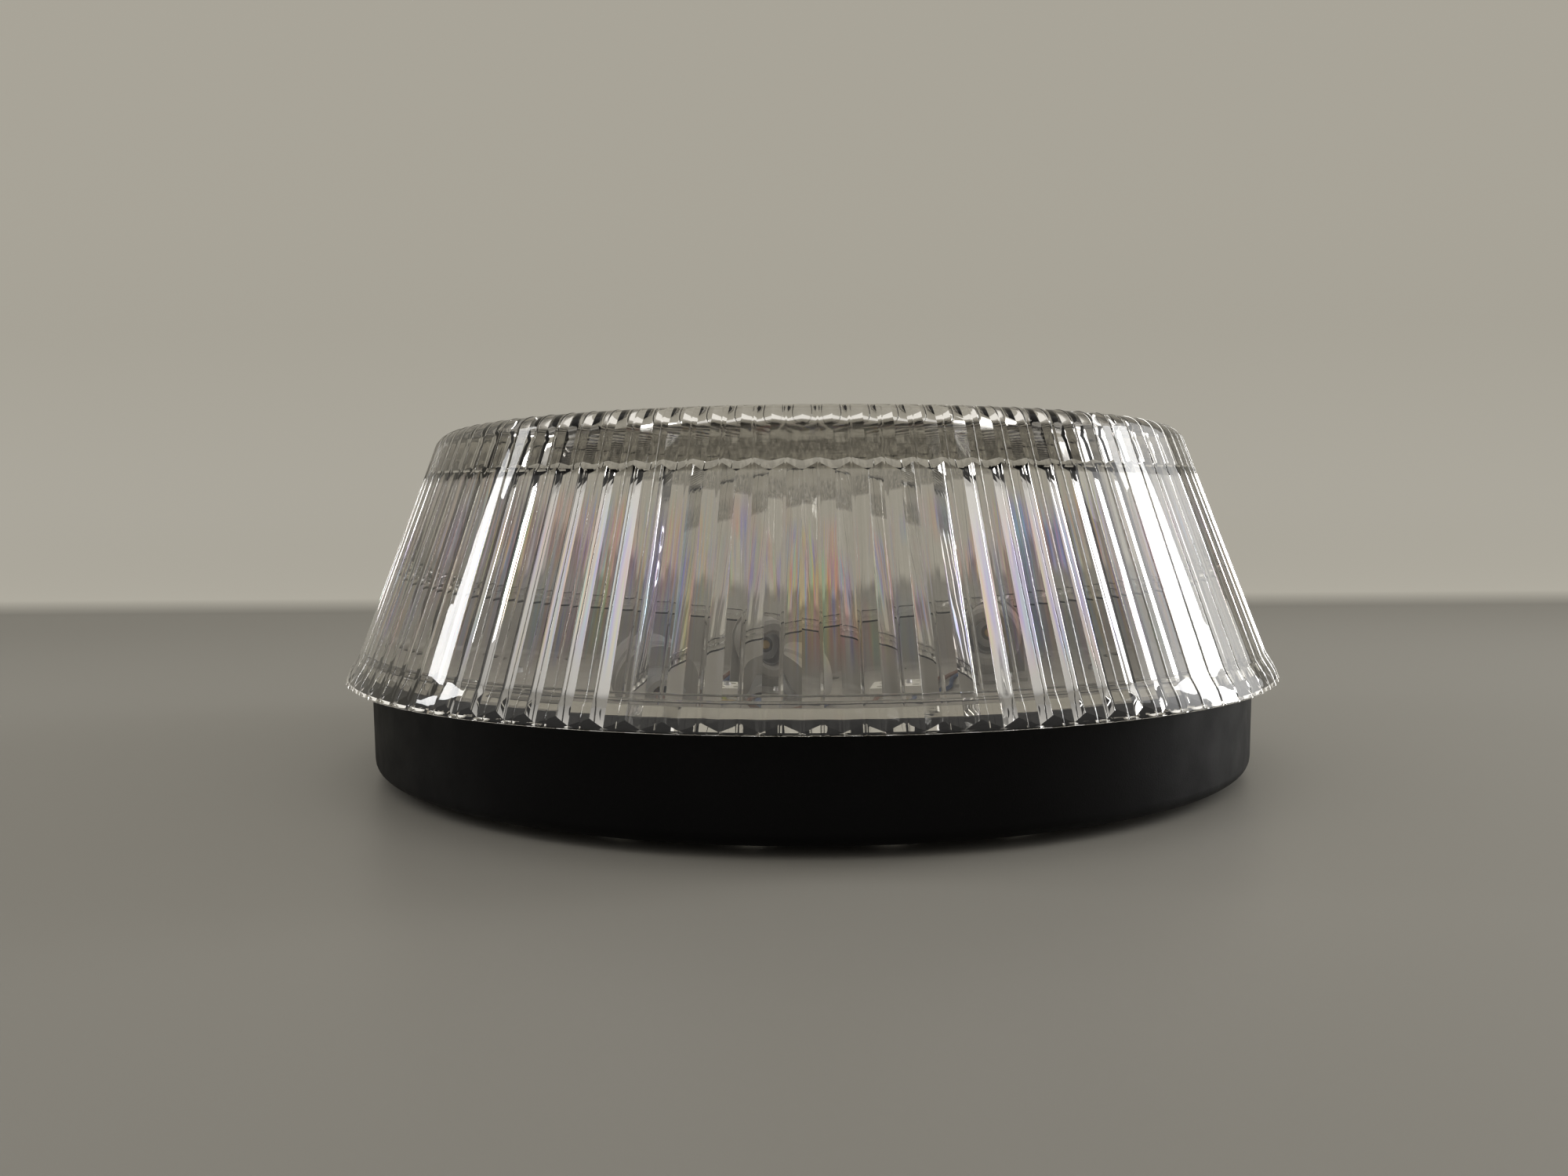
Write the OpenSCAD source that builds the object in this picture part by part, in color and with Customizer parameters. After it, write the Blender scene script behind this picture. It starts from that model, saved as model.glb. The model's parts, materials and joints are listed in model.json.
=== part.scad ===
// Flush ceiling light: a clear ribbed shade twist-locked on a shallow round base with two small lampholders.
// Millimetres. The back plane, which goes against the ceiling, is z = 0 and the shade points along +Z.

/* [Base] */
// Outer radius of the base at its top edge
base_r = 152; // [148:1:156]
// Height of the base pan alone
base_h = 31; // [28:1:34]
// Height of the spacer pads under the pan
pad_h = 3; // [2:0.5:5]
// Number of spacer pads
pad_n = 6; // [3:1:8]
// Radius of one spacer pad
pad_r = 8; // [6:0.5:10]
// Distance of the spacer pads from the axis
pad_ring_r = 112; // [105:1:118]
// Thickness of the pan's side wall
base_wall = 2.5; // [2:0.1:3]
// Thickness of the pan's floor
base_floor = 2.5; // [2:0.1:3.5]
// Radius of the pan's rounded lower edge
base_fillet = 4; // [2:0.5:6]
// How much narrower the pan is at its foot than at its top
base_draft = 0.5; // [0:0.1:1]
// Number of vent holes around the floor
vent_n = 24; // [12:2:30]
// Radius of one vent hole
vent_r = 4; // [2.5:0.5:5]
// Distance of the vent holes' ring from the base's outer edge
vent_in = 18; // [17:0.5:24]

/* [Shade] */
// Height of the clear shade
shade_h = 81; // [70:1:95]
// How far the shade's rim hangs below the pan's top edge
rim_drop = 2; // [0.5:0.1:2.4]
// How far the shade's rim stands out past the base
rim_over = 8; // [7:0.5:12]
// Inward lean of the shade's wall, per millimetre of height
shade_slope = 0.37; // [0.2:0.01:0.4]
// Number of ribs around the shade
rib_n = 100; // [60:2:120]
// Height of the thin ribs over the outside of the wall
rib_h = 0.3; // [0.2:0.05:0.8]
// Width of a thin rib at its foot, in degrees round the axis
rib_deg = 0.5; // [0.3:0.05:1]
// Height of the lip round the rim
lip_h = 7; // [5:0.5:10]
// How far the lip stands out from the wall above it
lip_step = 1.2; // [0.6:0.1:2]
// Bevel round the lip's lower edge
rim_bevel = 0.6; // [0.4:0.1:2]
// Depth of the flutes inside the wall
flute_d = 2; // [1:0.1:2.4]
// Height over which the flutes are cut back at the rim
flute_cut = 2; // [1:0.1:3]
// Thickness of the wall at the bottom of the flutes
shade_wall = 3; // [2.4:0.1:3.6]
// Thickness of the shade's flat front
shade_top = 3.5; // [2.5:0.1:4.5]
// Distance from the front face down to the upper end of the flutes
shoulder_drop = 18; // [14:0.5:24]
// Radius of the rounded edge round the front face
shade_corner = 6.5; // [4:0.5:9]
// Distance over which the ribs run out on the front face
top_runout = 12; // [6:1:20]

/* [Twist lock] */
// Number of lock lugs
lug_n = 3; // [3:1:4]
// Angular width of one lug, in degrees
lug_deg = 10; // [8:0.5:12]
// Twist from entry to locked, in degrees
twist_deg = 13; // [12:0.5:16]
// Width of the channel for the twist ring
channel_w = 6; // [5.5:0.1:7]
// Height of the ledge under the twist ring, above the pan's floor
ledge_h = 15.5; // [14:0.5:16]
// Height of the twist ring
ring_h = 4; // [3.5:0.1:5]
// Depth of the pockets in the twist ring
pocket_depth = 2; // [1.5:0.1:2.5]
// Height of a lug's toe
toe_h = 3.2; // [2.5:0.1:3.5]
// Height of a catch on the pan's wall
catch_h = 3; // [2.5:0.1:3.5]
// How far a catch stands out from the pan's wall
catch_w = 1.9; // [1.5:0.1:2.1]
// Thickness of the collar's seat flange
flange_t = 2.5; // [2:0.1:3]
// Height of the collar's outer band
collar_h = 5.7; // [4.5:0.1:7]
// Thickness of the collar's outer band
collar_t = 2.5; // [2:0.1:3]

/* [Gear tray] */
// Thickness of the tray's sheet steel
tray_t = 1; // [0.8:0.1:1.2]
// Height of the tray's upturned wall
tray_h = 28; // [18:0.5:30]
// Radius of the tray's bend
tray_bend = 4; // [2.5:0.5:5]
// Distance of the tray screws from the axis
tray_screw_ring_r = 104; // [98:1:106]
// Number of tray screws
tray_screw_n = 4; // [3:1:6]

/* [Ceiling fixing] */
// Distance between the two ceiling fixing slots
fixing_spacing = 150; // [130:2:160]
// Width of a fixing slot
fixing_slot_w = 5; // [4.5:0.1:6]
// End-to-end length of a fixing slot
fixing_slot_l = 14; // [10:1:18]
// Radius of the cable's hole through the grommet
cable_r = 4; // [3:0.5:5]
// Place of the cable entry across the light
cable_x = 20; // [16:1:26]
// Place of the cable entry along the lampholders
cable_y = -75; // [-84:1:-66]

/* [Lampholders] */
// Sideways distance of each lampholder from the axis
holder_x = 32; // [30:1:38]
// Distance of each lampholder's back face from the axis
holder_back = 78; // [72:1:84]
// Height of the lampholders' axis above the back plane
holder_z = 30; // [28:0.5:34]
// Length of a lampholder's body
holder_l = 36; // [34:1:40]
// Outer radius of a lampholder's sleeve
holder_r = 13.5; // [12.5:0.5:14]
// Inner radius of the threaded shell
shell_r = 7; // [6.9:0.05:7.2]
// Thickness of the threaded shell
shell_t = 0.5; // [0.4:0.05:0.7]
// Length of the threaded shell
shell_l = 16; // [12:0.5:17]
// Radius of the sprung centre contact
contact_r = 2.2; // [1.8:0.1:2.6]
// Travel of the sprung centre contact
contact_travel = 1.5; // [0.8:0.1:1.8]
// Radius of the hollow nipple behind a lampholder
nipple_r = 5; // [4.5:0.1:5.5]
// Radius of the nipple's wire passage
nipple_bore_r = 3.2; // [2.9:0.1:3.5]
// Length of the nipple behind the bracket
nipple_l = 14; // [10:1:18]
// Thickness of the bracket's sheet steel
bracket_t = 1.5; // [1.2:0.1:2]
// Width of the bracket
bracket_w = 30; // [28:1:34]
// Length of the bracket's foot
bracket_foot = 20; // [18:1:24]

/* [Wiring] */
// Width of the terminal block
block_w = 22; // [21:0.5:24]
// Depth of the terminal block
block_d = 17; // [15:0.5:20]
// Height of the terminal block
block_h = 13; // [12:0.5:14]
// Distance between the terminal block's poles
pole_pitch = 7; // [6.8:0.1:7.4]
// Radius of an insulated wire
wire_r = 1.1; // [0.8:0.05:1.2]

/* [Hidden] */
$fn = 96;

// Room left between pieces that move past each other
run_gap = 0.3;
// Room round a screw shank or another piece that drops into its hole
drop_gap = 0.2;
// Room round a piece that slides in a close guide
guide_gap = 0.05;
// Overlap that makes two shapes of one piece into one solid, and cuts break through
fuse = 0.5;
// Points along a rounded corner of a profile
steps = 6;

// Levels, from the back plane up
floor_z = pad_h;
floor_top = floor_z + base_floor;
base_top = pad_h + base_h;
tray_top = floor_top + tray_t;
ledge_z = floor_top + ledge_h;
ring_top = ledge_z + ring_h;
pocket_z = ring_top - pocket_depth;
toe_z = pocket_z + run_gap;
catch_z = toe_z + toe_h + run_gap;
seat_z = base_top + run_gap;
collar_top = seat_z + collar_h;
rim_z = base_top - rim_drop;
shade_front = rim_z + shade_h;
shoulder_z = shade_front - shoulder_drop;

// Radii of the twist lock, from the pan's wall inwards
mouth_r = base_r - base_wall;
channel_r = mouth_r - channel_w;
ring_out_r = mouth_r - run_gap;
ring_in_r = channel_r + fuse;
toe_out_r = ring_out_r - run_gap;
stem_out_r = mouth_r - catch_w - run_gap;
lug_in_r = ring_in_r + 2 * run_gap;
flange_in_r = lug_in_r - fuse;
rim_r = base_r + rim_over;
tray_r = channel_r - fuse;
// The vents stay on the flat of the tray's floor
vent_ring_r = min(base_r - vent_in, tray_r - tray_bend - vent_r);
// Angles of the twist lock: the way in beside a catch, the stop's own width, and the play round a lug
entry_deg = 3;
stop_deg = 2;
play_deg = 0.3;
catch_start = lug_deg / 2 + entry_deg;
catch_end = lug_deg / 2 + twist_deg;
pocket_deg = lug_deg / 2 + play_deg;

// Screw sizes: shank radius, head radius, head height, and the head's taper
head_taper = 0.8;
m4_r = 2;
m4_head_r = 3.6;
m4_head_h = 2.4;
m3_r = 1.5;
m3_head_r = 2.5;
m3_head_h = 1.8;
slot_w = 0.7;
slot_depth = 0.8;
block_screw_r = 0.9;
block_head_r = 1.6;
block_head_h = 1.4;
pad_recess = 0.6;
// Extra room round the fixing slots in the tray, for the screw heads
fixing_access = 8;
tray_screw_turn = 45;

// Grommet: collar height and groove depth
grommet_wall = 3;
grommet_lip = 2;
grommet_lip_h = 1.5;
// Cable clamp bar, between the cable entry and the terminal block
clamp_pos = [14, -50];
clamp_size = [26, 8, cable_r + 1];
clamp_turn = -15;
clamp_screw_x = 9;
// Earth tag, in front of the terminal block
earth_size = [9, 15, 0.8];
earth_pos = [0, -block_d / 2 - 5 - earth_size[1] + earth_size[0] / 2];

// Levels inside a lampholder, from its back face towards its mouth
holder_back_wall = 3;
holder_cavity_r = 8.5;
holder_web_z = 8;
holder_shoulder = 14;
holder_step = 12;
holder_chamfer = 1.5;
holder_neck = 1;
contact_collar_r = contact_r + 1.2;
contact_collar_t = 1.2;
contact_edge = 0.4;
shell_r_out = shell_r + shell_t;
shell_hole_r = contact_r + 1.5;
nut_t = 3;
nut_r = nipple_r + 3.2;
// Bracket screws, from the middle of the foot and along it
screw_step = bracket_w / 2 - 7;
screw_along = 11;

function arc(c, r, a0, a1) =
    [for (i = [0:steps]) let (a = a0 + (a1 - a0) * i / steps) [c[0] + r * cos(a), c[1] + r * sin(a)]];

// Radius at a height of the lip's outside, of the wall's outside, of the flutes' bottoms and of the edges between
lean = atan(shade_slope);
function lip_r(z) = rim_r - shade_slope * (z - rim_z);
function wall_r(z) = lip_r(z) - lip_step;
function flute_r(z) = wall_r(z) - shade_wall / cos(lean);
function edge_r(z) = flute_r(z) - flute_d / cos(lean);
lip_top = rim_z + lip_h;
corner_z = shade_front - shade_corner;
corner_x = wall_r(corner_z) - shade_corner / cos(lean);
corner_steps = 3;
corner_bends = [for (i = [0:corner_steps]) lean + (90 - lean) * i / corner_steps];

// Pan

module base_profile() {
    foot_r = base_r - base_draft;
    polygon(concat(
        [[0, floor_z]],
        arc([foot_r - base_fillet, floor_z + base_fillet], base_fillet, -90, 0),
        [[base_r, base_top], [mouth_r, base_top], [mouth_r, ledge_z], [channel_r, ledge_z],
         [channel_r, floor_top], [0, floor_top]]));
}

module ring_sector(r_in, r_out, h, from_deg, to_deg) {
    rotate([0, 0, from_deg])
        rotate_extrude(angle = to_deg - from_deg)
            translate([r_in, 0])
                square([r_out - r_in, h]);
}

module each_lug() {
    for (i = [0:lug_n - 1])
        rotate([0, 0, i * 360 / lug_n]) children();
}

// A catch on the pan's wall, with the stop under it that ends the twist
module catch() {
    catch_in = mouth_r - catch_w;
    stop_z = ring_top + run_gap;
    translate([0, 0, catch_z])
        ring_sector(catch_in, mouth_r + fuse, catch_h, catch_start, catch_end + stop_deg);
    translate([0, 0, stop_z])
        ring_sector(catch_in + drop_gap, mouth_r + fuse, catch_z + fuse - stop_z,
                    catch_end + play_deg, catch_end + stop_deg - play_deg);
}

module vents(h) {
    for (i = [0:vent_n - 1])
        rotate([0, 0, (i + 0.5) * 360 / vent_n])
            translate([vent_ring_r, 0, 0]) cylinder(r = vent_r, h = h);
}

module slot(w, l, h) {
    translate([-(l - w) / 2, -w / 2, 0]) cube([l - w, w, h]);
    for (s = [-1, 1])
        translate([s * (l - w) / 2, 0, 0]) cylinder(d = w, h = h);
}

module each_fixing() {
    for (s = [-1, 1])
        translate([s * fixing_spacing / 2, 0, 0]) children();
}

module each_tray_screw() {
    for (i = [0:tray_screw_n - 1])
        rotate([0, 0, tray_screw_turn + i * 360 / tray_screw_n])
            translate([tray_screw_ring_r, 0, 0]) children();
}

module each_pad() {
    for (i = [0:pad_n - 1])
        rotate([0, 0, i * 360 / pad_n]) translate([0, pad_ring_r, 0]) children();
}

module base_pan() {
    color([0.03, 0.03, 0.032])
    difference() {
        union() {
            rotate_extrude() base_profile();
            each_lug() catch();
        }
        translate([0, 0, floor_z - fuse]) {
            vents(base_floor + 2 * fuse);
            each_fixing() slot(fixing_slot_w, fixing_slot_l, base_floor + 2 * fuse);
            translate([cable_x, cable_y, 0])
                cylinder(r = cable_r + grommet_wall, h = base_floor + 2 * fuse);
            each_pad() cylinder(r = pad_r, h = pad_recess + fuse);
        }
        each_tray_screw() translate([0, 0, floor_z + drop_gap]) cylinder(r = m4_r + guide_gap, h = base_floor);
    }
}

module spacer_pads() {
    color([0.08, 0.08, 0.08])
    each_pad() cylinder(r = pad_r, h = pad_h + pad_recess);
}

module gear_tray() {
    wall_top = floor_top + tray_h;
    color([0.45, 0.43, 0.39])
    difference() {
        rotate_extrude()
            polygon(concat(
                [[0, floor_top]],
                arc([tray_r - tray_bend, floor_top + tray_bend], tray_bend, -90, 0),
                [[tray_r, wall_top], [tray_r - tray_t, wall_top]],
                arc([tray_r - tray_bend, floor_top + tray_bend], tray_bend - tray_t, 0, -90),
                [[0, tray_top]]));
        translate([0, 0, floor_top - fuse]) {
            vents(tray_t + 2 * fuse);
            each_fixing() slot(fixing_slot_w + fixing_access, fixing_slot_l + fixing_access, tray_t + 2 * fuse);
            translate([cable_x, cable_y, 0])
                cylinder(r = cable_r + grommet_wall + grommet_lip + run_gap, h = tray_t + 2 * fuse);
            each_tray_screw() cylinder(r = m4_r + drop_gap, h = tray_t + 2 * fuse);
        }
        translate([0, 0, -tray_t]) {
            at_clamp() each_clamp_screw() tapped_hole(m3_r);
            each_block_screw() translate([0, 0, tray_top]) tapped_hole(block_screw_r);
            at_earth() tapped_hole(m4_r);
            left_place() bracket_screw_places() foot_hole();
            right_place() bracket_screw_places() foot_hole();
        }
    }
}

// A hole through the tray that a screw bites into
module tapped_hole(r) {
    translate([0, 0, -fuse]) cylinder(r = r + guide_gap, h = tray_t + 2 * fuse);
}

module foot_hole() {
    translate([0, holder_z - tray_top, 0]) rotate([90, 0, 0]) tapped_hole(m3_r);
}

// A pan-head screw with a slot: its head sits on z = 0 and its shank points down
module screw(r, head_r, head_h, l) {
    difference() {
        union() {
            cylinder(r1 = head_r, r2 = head_r * head_taper, h = head_h);
            translate([0, 0, -l]) cylinder(r = r, h = l + fuse);
        }
        translate([-head_r, -slot_w / 2, head_h - slot_depth]) cube([2 * head_r, slot_w, slot_depth + fuse]);
    }
}

module tray_screws() {
    color("silver")
    each_tray_screw()
        translate([0, 0, tray_top])
            screw(m4_r, m4_head_r, m4_head_h, tray_t + base_floor - 2 * drop_gap);
}

// Cable entry

module cable_grommet() {
    hole_r = cable_r + grommet_wall;
    color([0.1, 0.1, 0.1])
    translate([cable_x, cable_y, 0])
    difference() {
        union() {
            translate([0, 0, floor_z - grommet_lip_h]) cylinder(r = hole_r + grommet_lip, h = grommet_lip_h);
            translate([0, 0, floor_z]) cylinder(r = hole_r, h = base_floor);
            translate([0, 0, floor_top]) cylinder(r = hole_r + grommet_lip, h = grommet_lip_h + tray_t);
        }
        translate([0, 0, floor_z - grommet_lip_h - fuse])
            cylinder(r = cable_r, h = base_floor + 2 * grommet_lip_h + tray_t + 2 * fuse);
    }
}

module at_clamp() {
    translate([clamp_pos[0], clamp_pos[1], tray_top]) rotate([0, 0, clamp_turn]) children();
}

module each_clamp_screw() {
    for (s = [-1, 1])
        translate([s * clamp_screw_x, 0, 0]) children();
}

module cable_clamp() {
    color([0.85, 0.85, 0.82])
    at_clamp()
    difference() {
        translate([-clamp_size[0] / 2, -clamp_size[1] / 2, 0]) cube(clamp_size);
        translate([0, -clamp_size[1], 0])
            rotate([-90, 0, 0]) cylinder(r = cable_r - run_gap, h = 2 * clamp_size[1]);
        each_clamp_screw()
            translate([0, 0, -fuse]) cylinder(r = m3_r + drop_gap, h = clamp_size[2] + 2 * fuse);
    }
}

module clamp_screws() {
    color("silver")
    at_clamp()
    each_clamp_screw()
        translate([0, 0, clamp_size[2]])
            screw(m3_r, m3_head_r, m3_head_h, clamp_size[2] + tray_t);
}

// Terminal block

// Poles: height of their axis, brass barrel, and the clamping screws along it
pole_z = tray_top + 5.5;
barrel_r = 2.2;
barrel_bore_r = wire_r + 0.35;
barrel_l = block_d - 2;
pole_screw_y = barrel_l / 2 - 3;

module each_pole() {
    for (i = [-1:1])
        translate([i * pole_pitch, 0, 0]) children();
}

module each_pole_screw() {
    each_pole()
        for (s = [-1, 1])
            translate([0, s * pole_screw_y, 0]) children();
}

module each_block_screw() {
    for (s = [-1, 1])
        translate([s * pole_pitch / 2, 0, 0]) children();
}

module terminal_block() {
    color([0.9, 0.9, 0.88])
    difference() {
        translate([-block_w / 2, -block_d / 2, tray_top]) cube([block_w, block_d, block_h]);
        each_pole()
            translate([0, -block_d, pole_z])
                rotate([-90, 0, 0]) cylinder(r = barrel_r + guide_gap, h = 2 * block_d);
        each_pole_screw()
            translate([0, 0, pole_z]) cylinder(r = m3_r + drop_gap, h = block_h);
        each_block_screw()
            translate([0, 0, tray_top - fuse])
                cylinder(r = block_screw_r + guide_gap, h = block_h + 2 * fuse);
    }
}

module terminal_barrels() {
    color([0.78, 0.62, 0.3])
    each_pole()
    difference() {
        translate([0, -barrel_l / 2, pole_z]) rotate([-90, 0, 0]) cylinder(r = barrel_r, h = barrel_l);
        translate([0, -barrel_l, pole_z]) rotate([-90, 0, 0]) cylinder(r = barrel_bore_r, h = 2 * barrel_l);
        for (s = [-1, 1])
            translate([0, s * pole_screw_y, pole_z]) cylinder(r = m3_r + guide_gap, h = barrel_r * 2);
    }
}

module terminal_screws() {
    tip_z = pole_z + barrel_bore_r;
    top_z = tray_top + block_h - slot_depth;
    color("silver")
    each_pole_screw()
    difference() {
        translate([0, 0, tip_z]) cylinder(r = m3_r, h = top_z - tip_z);
        translate([-m3_r - fuse, -slot_w / 2, top_z - slot_depth]) cube([2 * (m3_r + fuse), slot_w, 2 * slot_depth]);
    }
}

module block_screws() {
    color("silver")
    each_block_screw()
        translate([0, 0, tray_top + block_h])
            screw(block_screw_r, block_head_r, block_head_h, block_h + tray_t);
}

// Earth tag on the tray

module at_earth() {
    translate([earth_pos[0], earth_pos[1], tray_top]) children();
}

module earth_tag() {
    color([0.78, 0.62, 0.3])
    at_earth()
    difference() {
        translate([-earth_size[0] / 2, -earth_size[0] / 2, 0]) cube(earth_size);
        translate([0, 0, -fuse]) cylinder(r = m4_r + drop_gap, h = earth_size[2] + 2 * fuse);
    }
}

module earth_screw() {
    color([0.78, 0.62, 0.3])
    at_earth()
    translate([0, 0, earth_size[2]]) screw(m4_r, m4_head_r, m4_head_h, earth_size[2] + tray_t);
}

// Lampholders: the left one lies with its back to the front of the light, the right one faces it

module left_place() {
    translate([-holder_x, -holder_back, holder_z]) rotate([-90, 0, 0]) children();
}

module right_place() {
    rotate([0, 0, 180]) left_place() children();
}

module holder_body() {
    color([0.72, 0.71, 0.68])
    rotate_extrude()
        polygon([
            [nipple_r, 0],
            [holder_r - holder_neck - holder_chamfer, 0],
            [holder_r - holder_neck, holder_chamfer],
            [holder_r - holder_neck, holder_step],
            [holder_r, holder_step + holder_neck],
            [holder_r, holder_l - holder_chamfer],
            [holder_r - holder_chamfer, holder_l],
            [shell_r_out + guide_gap + holder_chamfer, holder_l],
            [shell_r_out + guide_gap, holder_l - holder_chamfer],
            [shell_r_out + guide_gap, holder_shoulder],
            [contact_r + guide_gap, holder_shoulder],
            [contact_r + guide_gap, holder_web_z],
            [holder_cavity_r, holder_web_z],
            [holder_cavity_r, holder_back_wall],
            [nipple_r, holder_back_wall]]);
}

module thread_shell() {
    color("silver")
    rotate_extrude()
        polygon([
            [shell_hole_r, holder_shoulder],
            [shell_r_out, holder_shoulder],
            [shell_r_out, holder_shoulder + shell_l + shell_t],
            [shell_r, holder_shoulder + shell_l + shell_t],
            [shell_r, holder_shoulder + shell_t],
            [shell_hole_r, holder_shoulder + shell_t]]);
}

module centre_contact() {
    tail = holder_back_wall + contact_travel + run_gap;
    collar_at = holder_web_z - contact_collar_t - run_gap;
    color([0.8, 0.68, 0.4])
    rotate_extrude()
        polygon([
            [0, tail],
            [contact_r, tail],
            [contact_r, collar_at],
            [contact_collar_r, collar_at],
            [contact_collar_r, collar_at + contact_collar_t],
            [contact_r, collar_at + contact_collar_t],
            [contact_r, holder_shoulder],
            [contact_r - contact_edge, holder_shoulder + contact_edge],
            [0, holder_shoulder + contact_edge]]);
}

module nipple() {
    color("silver")
    translate([0, 0, -bracket_t - nipple_l])
    difference() {
        cylinder(r = nipple_r, h = nipple_l + bracket_t + holder_back_wall);
        translate([0, 0, -fuse]) cylinder(r = nipple_bore_r, h = nipple_l + bracket_t + holder_back_wall + 2 * fuse);
    }
}

module nipple_nut() {
    translate([0, 0, -bracket_t - nut_t])
    difference() {
        cylinder(r = nut_r, h = nut_t, $fn = 6);
        translate([0, 0, -fuse]) cylinder(r = nipple_r + guide_gap, h = nut_t + 2 * fuse);
    }
}

module bracket_screw_places() {
    for (s = [-1, 1])
        translate([s * screw_step, 0, screw_along]) children();
}

// Bracket in the lampholder's own frame: its plate stands behind the body and its foot lies on the tray
module bracket() {
    foot_y = holder_z - tray_top;
    plate_r = holder_r;
    color([0.34, 0.33, 0.3])
    difference() {
        union() {
            translate([0, 0, -bracket_t]) {
                cylinder(r = plate_r, h = bracket_t);
                translate([-plate_r, 0, 0]) cube([2 * plate_r, foot_y, bracket_t]);
            }
            translate([-bracket_w / 2, foot_y - bracket_t, -bracket_t])
                cube([bracket_w, bracket_t, bracket_foot + bracket_t]);
        }
        translate([0, 0, -bracket_t - fuse])
            cylinder(r = nipple_r + guide_gap, h = bracket_t + 2 * fuse);
        bracket_screw_places()
            translate([0, foot_y + fuse, 0])
                rotate([90, 0, 0]) cylinder(r = m3_r + drop_gap, h = bracket_t + 2 * fuse);
    }
}

module foot_screws() {
    bracket_screw_places()
        translate([0, holder_z - tray_top - bracket_t, 0])
            rotate([90, 0, 0]) screw(m3_r, m3_head_r, m3_head_h, bracket_t + tray_t);
}

module bracket_left() { left_place() bracket(); }
module bracket_right() { right_place() bracket(); }
module nipple_left() { left_place() nipple(); }
module nipple_right() { right_place() nipple(); }
module holder_body_left() { left_place() holder_body(); }
module holder_body_right() { right_place() holder_body(); }
module thread_shell_left() { left_place() thread_shell(); }
module thread_shell_right() { right_place() thread_shell(); }
module centre_contact_left() { left_place() centre_contact(); }
module centre_contact_right() { right_place() centre_contact(); }

module bracket_screws() {
    color("silver") {
        left_place() foot_screws();
        right_place() foot_screws();
    }
}

module nipple_nuts() {
    color("silver") {
        left_place() nipple_nut();
        right_place() nipple_nut();
    }
}

// Wires: a smooth curve through hand-chosen points, swept as an eight-sided tube

wire_sides = 8;
wire_steps = 4;
wire_z = tray_top + wire_r + run_gap;
wire_apart = 1.4;
wire_in = 3;
wire_out = 4;
wire_rise = 0.5;
// Lane of the wires between the bracket's foot and the middle, and the bend behind the nipple
lane_x = holder_x - bracket_w / 2 - 5;
lane_from = holder_back - 26;
lane_to = holder_back - 2;
turn_x = holder_x - 10;
turn_y = holder_back + 18;
bend_out = 11;

function unit(v) = v / norm(v);

// Point at t along the span from point i of a list, on a curve that passes through every point
function spline_at(p, i, t) =
    let (n = len(p) - 1,
         a = p[max(i - 1, 0)],
         b = p[i],
         c = p[min(i + 1, n)],
         d = p[min(i + 2, n)])
    0.5 * (2 * b + (c - a) * t + (2 * a - 5 * b + 4 * c - d) * t * t + (3 * b - a - 3 * c + d) * t * t * t);

function spline(p) =
    concat([for (i = [0:len(p) - 2]) for (k = [0:wire_steps - 1]) spline_at(p, i, k / wire_steps)],
           [p[len(p) - 1]]);

module wire(points, side_way) {
    path = spline(points);
    n = len(path);
    ring = [for (i = [0:n - 1])
        let (t = unit(path[min(i + 1, n - 1)] - path[max(i - 1, 0)]),
             u = unit(cross(t, side_way)),
             v = cross(t, u))
        for (k = [0:wire_sides - 1])
            let (a = 360 * k / wire_sides) path[i] + wire_r * (cos(a) * u + sin(a) * v)];
    side = [for (i = [0:n - 2]) for (k = [0:wire_sides - 1])
        let (a = i * wire_sides + k,
             b = i * wire_sides + (k + 1) % wire_sides)
        each [[a, a + wire_sides, b], [b, a + wire_sides, b + wire_sides]]];
    first_end = [[for (k = [0:wire_sides - 1]) k]];
    last_end = [[for (k = [wire_sides - 1:-1:0]) (n - 1) * wire_sides + k]];
    polyhedron(points = ring, faces = concat(side, first_end, last_end));
}

// Route from a pole of the terminal block to the nipple on that side
function lamp_route(pole, side) =
    let (x = pole * pole_pitch,
         off = pole * wire_apart,
         hx = side * holder_x + off,
         back = holder_back + bracket_t + nipple_l)
    [[x, side * (block_d / 2 - wire_in), pole_z],
     [x, side * (block_d / 2 + wire_out), pole_z],
     [x, side * 30, wire_z + wire_rise],
     [side * lane_x + 2 * off, side * lane_from, wire_z],
     [side * lane_x + 2 * off, side * lane_to, wire_z],
     [side * turn_x + off, side * turn_y, wire_z + 2],
     [hx - side * 2, side * (back + bend_out), holder_z - 14],
     [hx, side * (back + bend_out - 1), holder_z - 5],
     [hx, side * (back + 3), holder_z],
     [hx, side * (back - 4), holder_z],
     [hx, side * (holder_back + bracket_t), holder_z]];

module live_wires() {
    color([0.35, 0.18, 0.1])
    for (side = [-1, 1])
        wire(lamp_route(-1, side), [1, 0, 0]);
}

module neutral_wires() {
    color([0.2, 0.35, 0.6])
    for (side = [-1, 1])
        wire(lamp_route(1, side), [1, 0, 0]);
}

module earth_wire() {
    from_y = -block_d / 2;
    tag_end = earth_pos[1] - earth_size[0] / 2 + earth_size[1];
    tag_z = tray_top + earth_size[2] + wire_r + guide_gap;
    color([0.45, 0.6, 0.15])
    wire([[0, from_y + wire_in, pole_z],
          [0, from_y - wire_apart, pole_z],
          [0, (tag_end + from_y) / 2 - wire_r, (pole_z + tag_z) / 2],
          [0, tag_end - wire_apart, tag_z],
          [0, tag_end - wire_out, tag_z]], [1, 0, 0]);
}

// Twist lock and shade

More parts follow.
